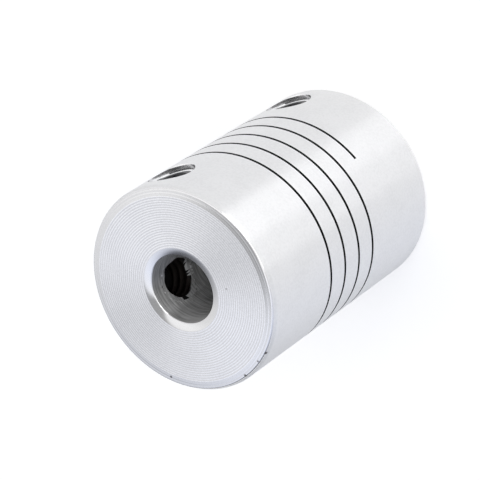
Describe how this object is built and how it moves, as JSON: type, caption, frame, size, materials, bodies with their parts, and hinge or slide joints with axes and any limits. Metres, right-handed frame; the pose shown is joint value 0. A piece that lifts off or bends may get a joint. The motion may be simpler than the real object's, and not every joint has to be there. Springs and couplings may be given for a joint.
{
  "type": "helical beam shaft coupling",
  "caption": "One-piece aluminium shaft coupling made flexible by a helical slit, with a through bore and hexagon-socket set screws at right angles in each hub.",
  "frame": {"origin": "centre of the rear end face, on which the coupling stands", "axes": "+Z along the bore from the rear face to the front face; +X and +Y point out through the two set screws of each hub"},
  "size_m": [0.018, 0.018, 0.025],
  "materials": {
    "turned_aluminium": "fine turned, satin, unpainted",
    "black_steel": "black oxide"
  },
  "bodies": {
    "body": {"coupling_body": "turned_aluminium"},
    "front_screw_a": {"front_set_screw_a": "black_steel"},
    "front_screw_b": {"front_set_screw_b": "black_steel"},
    "rear_screw_a": {"rear_set_screw_a": "black_steel"},
    "rear_screw_b": {"rear_set_screw_b": "black_steel"}
  },
  "joints": [
    {"name": "front_screw_a_travel", "type": "slide", "parent": "body", "child": "front_screw_a", "axis": [-1, 0, 0], "range_m": [-0.0007, 0.0021]},
    {"name": "front_screw_b_travel", "type": "slide", "parent": "body", "child": "front_screw_b", "axis": [0, -1, 0], "range_m": [-0.0007, 0.0021]},
    {"name": "rear_screw_a_travel", "type": "slide", "parent": "body", "child": "rear_screw_a", "axis": [-1, 0, 0], "range_m": [-0.0007, 0.0021]},
    {"name": "rear_screw_b_travel", "type": "slide", "parent": "body", "child": "rear_screw_b", "axis": [0, -1, 0], "range_m": [-0.0007, 0.0021]}
  ]
}
